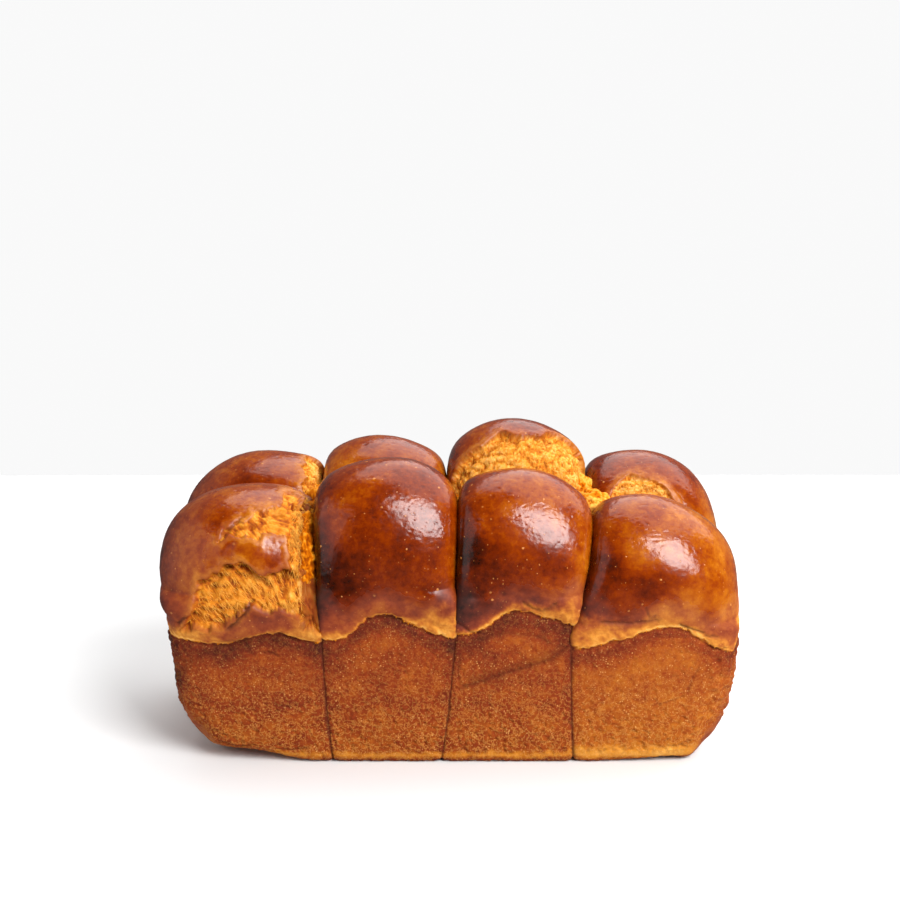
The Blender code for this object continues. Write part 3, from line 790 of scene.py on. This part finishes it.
def spots(add, coords, apart, share, smallest, largest):
    # Round spots of mixed sizes and strengths: about this share of the cells, this many mm apart, has one
    cells = add("TexVoronoi", {"Scale": 1 / (apart * mm), "Vector": coords})
    parts = add("SeparateColor", {"Color": cells.outputs["Color"]})
    picked = add("Math GREATER_THAN", {0: parts, 1: 1 - share})
    reach = add("MapRange", {"To Min": smallest / apart, "To Max": largest / apart,
                             "Value": parts.outputs[1]})
    ratio = add("Math DIVIDE", {0: cells, 1: reach})
    disc = add("MapRange", {"interpolation_type": "SMOOTHSTEP", "From Min": 1.15, "From Max": 0.5,
                            "Value": ratio})
    shown = add("Math MULTIPLY", {0: picked, 1: parts.outputs[2]})
    return add("Math MULTIPLY", {0: disc, 1: shown})


def buildCrust(name, specular, seeping):
    look = crustLook
    material, add, shader = newMaterial(name)
    coords = add("TexCoord").outputs["Object"]
    height = add("SeparateXYZ", {"Vector": coords}).outputs["Z"]
    torn, crest, toast, tin, dry, dark = (add("Attribute", {"attribute_name": part}).outputs["Fac"]
                                          for part in ("torn", "crest", "toast", "tin", "dry", "dark"))
    flow = add("Attribute", {"attribute_name": "flow"}).outputs["Vector"]

    # Coordinates bent a little, so that no spot is round
    bend = add("TexNoise", {"Scale": 1 / look["bendSize"], "Detail": 2, "Vector": coords})
    centred = add("VectorMath SUBTRACT", {0: bend.outputs["Color"], 1: (0.5, 0.5, 0.5)})
    bentBy = add("VectorMath SCALE", {"Scale": look["bend"], 0: centred})
    bent = add("VectorMath ADD", {0: coords, 1: bentBy})

    # Browning, mottled and freckled
    mottle = add("TexNoise", {"Scale": 1 / look["mottle"], "Detail": 5, "Roughness": 0.62, "Vector": coords})
    freckle = add("TexNoise", {"Scale": 1 / look["freckle"], "Detail": 3, "Roughness": 0.6, "Vector": bent})
    level = toast
    for pattern, share in zip((mottle, freckle), look["mottling"]):
        level = add("Math MULTIPLY_ADD", {0: pattern, 1: share, 2: level})
    level = add("Math SUBTRACT", {"use_clamp": True, 0: level, 1: look["paler"]})
    brown = add("ValToRGB", {"stops": look["stops"], "Fac": level})

    # Blisters in the glaze and pale pinpricks, fewer on the tin side
    blister, pinprick = spots(add, bent, *look["blister"]), spots(add, bent, *look["pinprick"])
    pale = add("Math MAXIMUM", {0: blister, 1: pinprick})
    onDome = add("MapRange", {"To Min": 1, "To Max": 0.25, "Value": tin})

    # Fine pale speckle of the dry tin side, in patches, and less of it where the side is dark
    tall = add("VectorMath MULTIPLY", {0: bent, 1: (1, 1, 0.6)})
    dash, dot = spots(add, tall, *look["dash"]), spots(add, bent, *look["speckle"])
    speckle = add("Math MAXIMUM", {0: dash, 1: dot})
    patch = add("TexNoise", {"Scale": 1 / look["patch"], "Detail": 3, "Vector": coords})
    patchy = add("MapRange", {"From Min": 0.35, "From Max": 0.65, "To Min": 0.3, "To Max": 1, "Value": patch})
    calm = add("MapRange", {"From Min": 0.62, "From Max": 0.8, "To Min": 1, "To Max": 0.4, "Value": toast})

    # Golden lines between the pits, mostly low on the sides where the tin was hottest
    cell = add("TexNoise", {"Scale": 1 / look["network"], "Detail": 2, "Roughness": 0.6, "Vector": bent})
    fromMiddle = add("Math SUBTRACT", {0: cell, 1: 0.5})
    narrow = add("Math ABSOLUTE", {0: fromMiddle})
    line = add("MapRange", {"From Min": 0.055, "From Max": 0.005, "Value": narrow})
    low = add("MapRange", {"From Min": 50 * mm, "From Max": 12 * mm, "To Min": 0.12, "To Max": 0.6,
                           "Value": height})

    # How strongly each pattern shows is the product of its parts, and the colours lie over one another,
    # painted shade last
    factors = {"pale": (pale, onDome), "net": (line, low, tin), "speckle": (speckle, patchy, calm, tin),
               "netRelief": (line, tin), "speckleRelief": (speckle, tin)}
    shown = {}
    for pattern, parts in factors.items():
        shown[pattern] = parts[0]
        for part in parts[1:]:
            shown[pattern] = add("Math MULTIPLY", {0: shown[pattern], 1: part})
    faint = add("Math MULTIPLY", {0: shown["pale"], 1: 0.75})
    crust = brown
    for share, colour in ((faint, "blisterColour"), (shown["net"], "networkColour"),
                          (shown["speckle"], "speckleColour"), (dark, "paintedShadeColour")):
        crust = add("Mix RGBA", {0: share, 6: crust, 7: linear(look[colour])}).outputs[2]

    # Torn crumb: pale on its crests and orange brown in its pits, partly its own colour and partly painted
    # shade,
    #     # streaked along its threads, and with painted shade laid over its pits and hollows
    thread = add("Mapping", {"vector_type": "TEXTURE", "Scale": (1, 7, 3), "Vector": flow})
    streak = add("TexNoise", {"Scale": 1 / look["threadWidth"], "Detail": 3, "Roughness": 0.6,
                              "Vector": thread})
    grainy = add("TexNoise", {"Scale": 1 / look["crumbGrain"], "Detail": 3, "Vector": coords})
    level = add("Math MULTIPLY_ADD", {0: crest, 1: 0.9, 2: -0.58})
    for pattern, share, clamped in ((streak, 0.5, False), (grainy, 0.4, True)):
        level = add("Math MULTIPLY_ADD", {"use_clamp": clamped, 0: pattern, 1: share, 2: level})
    crumb = add("ValToRGB", {"stops": look["crumbStops"], "Fac": level})
    shadedCrumb = add("Mix RGBA", {0: dark, 6: crumb, 7: linear(look["crumbShadeColour"])})
    surface = add("Mix RGBA", {0: torn, 6: crust, 7: shadedCrumb.outputs[2]})

    # Gloss: glazed domes, dry sides, dull crumb
    gloss = add("MapRange", {"To Min": look["glazeRoughness"], "To Max": look["dryRoughness"], "Value": dry})
    uneven = add("Math MULTIPLY_ADD", {0: mottle, 1: 0.24, 2: gloss})
    rough = add("Mix FLOAT", {0: torn, 2: uneven, 3: look["crumbRoughness"]})
    if seeping:
        seep = add("Math MULTIPLY", {0: torn, 1: seeping})
        fill(shader, {"Subsurface Weight": seep, "Subsurface Radius": look["seepRadius"],
                      "Subsurface Scale": look["seepReach"]})

    # Relief finer than the mesh: skin wrinkles, raised blisters and speckle, and the crumb's threads
    wrinkle = add("TexNoise", {"Scale": 1 / look["wrinkle"], "Detail": 4, "Roughness": 0.55,
                               "Vector": coords})
    skin = ((shown["pale"], 0.7), (shown["speckleRelief"], 0.9), (shown["netRelief"], 1.1), (wrinkle, 0.55))
    heights = []
    for parts in (skin, ((streak, 1.6), (grainy, 1.2))):
        total = add("Math MULTIPLY", {0: parts[0][0], 1: parts[0][1]})
        for pattern, share in parts[1:]:
            total = add("Math MULTIPLY_ADD", {0: pattern, 1: share, 2: total})
        heights.append(total)
    raised = add("Mix FLOAT", {0: torn, 2: heights[0], 3: heights[1]})
    relief = add("Bump", {"Strength": look["reliefStrength"], "Distance": look["reliefHeight"],
                          "Height": raised})
    fill(shader, {"Base Color": surface.outputs[2], "Roughness": rough, "IOR": look["ior"],
                  "Specular IOR Level": specular, "Normal": relief})
    return material


# Torn brioche crumb: soft, open and buttery, so it is matte gold, with deeper orange in its hollows that is
# partly its own colour and partly painted shade
crumbLook = {
    "stops": ((0.0, "#863800"), (0.35, "#b45a00"), (0.65, "#d47e10"), (1.0, "#ecab48")),
    "grain": 0.9 * mm,
    "roughness": 0.9,
    "specular": 0.05,
    "reliefStrength": 0.6,
    "reliefHeight": 0.15 * mm,
}


def buildCrumb():
    look = crumbLook
    material, add, shader = newMaterial("tornBriocheCrumb")
    coords = add("TexCoord").outputs["Object"]
    crest = add("Attribute", {"attribute_name": "crest"}).outputs["Fac"]
    noise = add("TexNoise", {"Scale": 1 / look["grain"], "Detail": 3, "Vector": coords})
    shift = add("Math MULTIPLY_ADD", {0: noise, 1: 0.5, 2: -0.25})
    level = add("Math ADD", {"use_clamp": True, 0: crest, 1: shift})
    ramp = add("ValToRGB", {"stops": look["stops"], "Fac": level})
    relief = add("Bump", {"Strength": look["reliefStrength"], "Distance": look["reliefHeight"],
                          "Height": noise})
    fill(shader, {"Base Color": ramp, "Roughness": look["roughness"], "Specular IOR Level": look["specular"],
                  "Normal": relief})
    return material


glazedMaterial = buildCrust("eggWashedBriocheCrust", crustLook["glazedSpecular"], 0)
bareMaterial = buildCrust("unglazedBriocheCrust", crustLook["bareSpecular"], crustLook["crumbSeeping"])
crumbMaterial = buildCrumb()
print("materials made")

seedStep = 40
for number, ballName in enumerate(balls):
    dressBall(ballName, glazedMaterial, bareMaterial, seedStep * number)

# Lumps of torn crumb in the hollows between the domes: middle and half sizes in mm
valley = {
    "lumps": (((-61, -2, 99), (11, 24, 15)), ((-63, -32, 88), (7, 20, 23)), ((-64, 14, 102), (8, 12, 10)),
              ((2, -1, 99), (8, 9, 11)), ((67, 2, 99), (12, 20, 13)), ((66, -12, 104), (8, 9, 8)),
              ((72, 14, 104), (9, 11, 8)), ((61, 15, 106), (7, 9, 10))),
    "fineness": 6,
    "fibrous": 0.4,
    "waviness": 1.5,
    "relief": 0.8,
}


def buildValley():
    mesh = bmesh.new()
    for middle, sizes in valley["lumps"]:
        made = bmesh.ops.create_icosphere(mesh, subdivisions=valley["fineness"], radius=1)["verts"]
        bmesh.ops.scale(mesh, vec=sizes, verts=made)
        bmesh.ops.translate(mesh, vec=middle, verts=made)
    data = meshData(mesh, "valley_crumb")
    points, normals = vectorsOf(data.vertices, "co"), vectorsOf(data.vertex_normals, "vector")
    height, crest = crumbRelief(points, flowOf("valley", points), valley["fibrous"])
    moved = valley["waviness"] * grain(points, (5, 5, 3.2), 9) + valley["relief"] * height
    points = points + normals * moved[:, None]
    placePoints(data, points)
    # The hollow over the front is darker at the left, painted shade where front_2 shades it, and brighter
    # towards the right of the loaf
    crest = 1.2 * crest - 0.3 + np.where(points[:, 0] < 0, -0.15, 0.3) * smooth((-points[:, 1] - 2) / 8)
    setAttributes(data, {"crest": crest})
    finishPiece(data, crumbMaterial)
    chosen = np.flatnonzero(points[:, 2] > 96)
    tornPoints.append(("valley", points[chosen], normals[chosen], crest[chosen]))


buildValley()

# Strands of gluten pulled out of the torn crumb: how many doublings of one strand, each place's share of
# them, their lengths and half widths in mm, and how flat, lifted, stray and pale they are.
# Shreds hang from the ragged edge over the tin sides.
strands = {
    "crumb_strands_front": {
        "doublings": 11, "shares": {"front_1": 1.0}, "length": (1.5, 5.5), "halfWidth": (0.08, 0.22),
        "flat": 0.7, "lift": (0.0, 0.25), "stray": 0.3, "seed": 7, "pale": (0.1, 0.6),
    },
    "crumb_strands_top": {
        "doublings": 12, "shares": {"back_3": 0.48, "back_4": 0.17, "back_1": 0.13, "valley": 0.22},
        "length": (0.8, 3.0), "halfWidth": (0.08, 0.24),
        "flat": 0.7, "lift": (0.0, 0.4), "stray": 0.3, "seed": 8, "pale": (0.0, 0.5),
    },
    "rim_shreds": {
        "doublings": 9, "shares": {"rim": 1.0}, "length": (0.3, 0.9), "halfWidth": (0.25, 0.6),
        "flat": 0.5, "lift": (0.0, 0.3), "stray": 0.7, "seed": 9, "pale": (-0.1, 0.3),
    },
}


def oneStrand():
    mesh = bmesh.new()
    bmesh.ops.create_cone(mesh, segments=3, radius1=1, radius2=0.2, depth=1, cap_ends=True)
    bmesh.ops.translate(mesh, vec=(0, 0, 0.5), verts=mesh.verts)
    tall = [edge for edge in mesh.edges if abs(edge.verts[0].co.z - edge.verts[1].co.z) > 0.5]
    bmesh.ops.subdivide_edges(mesh, edges=tall, cuts=2)
    return mesh


def buildStrands(name, look):
    mesh = oneStrand()
    each = len(mesh.verts)
    for _ in range(look["doublings"]):
        bmesh.ops.duplicate(mesh, geom=mesh.verts[:] + mesh.edges[:] + mesh.faces[:])
    data = meshData(mesh, name)
    count = len(data.vertices) // each
    local = vectorsOf(data.vertices, "co").reshape(count, each, 3)

    # Each strand's root, the way out of the surface, how pale it is and where its thread ran
    draw = np.random.default_rng(look["seed"])
    picked = []
    for place, points, normals, crest in tornPoints:
        picks = draw.choice(len(points), int(math.ceil(look["shares"].get(place, 0) * count)))
        ahead = np.tile((0.15, -0.7, -0.7), (len(picks), 1))
        if place == "front_1":
            tilt = np.interp(points[picks, 0], *tear["threadTilt"])
            ahead = np.stack([np.sin(tilt), 0 * tilt, -np.cos(tilt)], axis=1)
        if place == "rim":
            ahead = np.tile((0.0, 0.0, -1.0), (len(picks), 1))
        picked.append(np.concatenate([points[picks], normals[picks], crest[picks, None], ahead], axis=1))
    picked = np.concatenate(picked)[:count]
    roots, outs, crests, ahead = picked[:, :3], picked[:, 3:6], picked[:, 6], picked[:, 7:]

    lengths, widths = draw.uniform(*look["length"], count), draw.uniform(*look["halfWidth"], count)
    ahead = ahead + draw.normal(0, look["stray"], (count, 3))
    run = unit(ahead - outs * (ahead * outs).sum(axis=1)[:, None])
    run = unit(run + outs * draw.uniform(*look["lift"], count)[:, None])
    side = unit(np.cross(run, outs))
    third = np.cross(side, run) * look["flat"]
    bend = draw.normal(0, 0.22, (count, 3)) - outs * 0.25
    t = local[:, :, 2]
    spine = roots[:, None] - outs[:, None] * 0.1 + run[:, None] * (t * lengths[:, None])[:, :, None]
    spine += bend[:, None] * (t ** 2 * lengths[:, None])[:, :, None]
    around = side[:, None] * local[:, :, :1] + third[:, None] * local[:, :, 1:2]
    placePoints(data, (spine + around * widths[:, None, None]).reshape(-1, 3))
    crests = np.clip(crests + draw.uniform(*look["pale"], count), 0.1, 1)
    setAttributes(data, {"crest": np.repeat(crests, each)})
    finishPiece(data, crumbMaterial)


rimRoots, rimOuts = (np.concatenate([pair[part] for pair in rimPoints]) for part in (0, 1))
tornPoints.append(("rim", rimRoots, rimOuts, np.full(len(rimRoots), 0.5)))
for strandName, strandLook in strands.items():
    buildStrands(strandName, strandLook)

# The matt white table, in metres: it reaches as far back as the faint line behind the loaf
table = {"width": 4.0, "near": -2.0, "far": 0.515, "colour": "#e7e7e7", "roughness": 0.9}


def buildTable():
    mesh = bmesh.new()
    bmesh.ops.create_grid(mesh, x_segments=1, y_segments=1, size=0.5)
    bmesh.ops.scale(mesh, vec=(table["width"], table["far"] - table["near"], 1), verts=mesh.verts)
    bmesh.ops.translate(mesh, vec=(0, (table["far"] + table["near"]) / 2, 0), verts=mesh.verts)
    data = meshData(mesh, "table")
    material, _, shader = newMaterial("matteWhiteTable")
    fill(shader, {"Base Color": linear(table["colour"]), "Roughness": table["roughness"],
                  "Specular IOR Level": 0.0})
    data.materials.append(material)
    floor = bpy.data.objects.new("table", data)
    # The glaze doesn't mirror the table, as the photograph's crust shows next to none of it
    floor.visible_glossy = False
    bpy.context.scene.collection.objects.link(floor)


buildTable()
print("table made")

# Soft studio lights: where each stands as seen from the loaf in degrees and metres, azimuth 0 being the
# camera's side, then its size in metres and how bright its face is
lamps = {
    "key": {"azimuth": 38.5, "elevation": 37, "distance": 1.3, "size": (0.7, 0.76), "radiance": 15.6},
    "leftWall": {"azimuth": -68, "elevation": 16, "distance": 1.3, "size": (1.6, 1.2), "radiance": 0.9},
    "overhead": {"azimuth": 142, "elevation": 60, "distance": 1.0, "size": (1.4, 1.3), "radiance": 2.1},
}
aim = Vector((0, 0, 0.08))


def buildLamps():
    for name, lamp in lamps.items():
        turn, up = math.radians(lamp["azimuth"]), math.radians(lamp["elevation"])
        away = Vector((math.sin(turn) * math.cos(up), -math.cos(turn) * math.cos(up), math.sin(up)))
        data = bpy.data.lights.new(name, "AREA")
        data.shape = "RECTANGLE"
        data.size, data.size_y = lamp["size"]
        data.energy = lamp["radiance"] * math.pi * data.size * data.size_y
        light = bpy.data.objects.new(name, data)
        light.location = aim + away * lamp["distance"]
        light.rotation_euler = away.to_track_quat("Z", "Y").to_euler()
        bpy.context.scene.collection.objects.link(light)


buildLamps()
print(len(lamps), "lamps made")

# The room: white behind the loaf, dark behind the camera, and plain white where the camera sees it.
# The glaze mirrors it less than it lights the loaf, as a white room further off than the lamps would.
room = {"backdrop": 0.95, "lighting": 0.95, "mirrored": 0.18, "front": 0.02}


def buildRoom():
    world = bpy.data.worlds.new("whiteRoom")
    world.use_nodes = True
    bpy.context.scene.world = world
    tree = world.node_tree
    add = partial(addNode, tree)
    coords = add("TexCoord").outputs["Generated"]
    parts = add("SeparateXYZ", {"Vector": coords})
    path = add("LightPath")
    brightest = add("Mix FLOAT", {0: path.outputs["Is Glossy Ray"], 2: room["lighting"], 3: room["mirrored"]})
    light = add("MapRange", {"interpolation_type": "SMOOTHSTEP", "Value": parts.outputs["Y"],
                             "From Min": -0.1, "From Max": 0.55,
                             "To Min": room["front"], "To Max": brightest})
    shown = add("Mix FLOAT", {0: path.outputs["Is Camera Ray"], 2: light, 3: room["backdrop"]})
    fill(tree.nodes["Background"], {"Color": shown})


buildRoom()
print("room made")

# The camera: its place in metres, how far it looks down in degrees, and its lens and sensor in mm
cameraAt = {"place": (-0.00045, -0.5886, 0.257), "down": 12, "lens": 52, "sensor": 36}
cameraData = bpy.data.cameras.new("camera")
cameraData.lens = cameraAt["lens"]
cameraData.sensor_width = cameraAt["sensor"]
camera = bpy.data.objects.new("camera", cameraData)
camera.location = cameraAt["place"]
camera.rotation_euler = (math.radians(90 - cameraAt["down"]), 0, 0)
bpy.context.scene.collection.objects.link(camera)
bpy.context.scene.camera = camera
bpy.context.scene.view_settings.view_transform = "Standard"
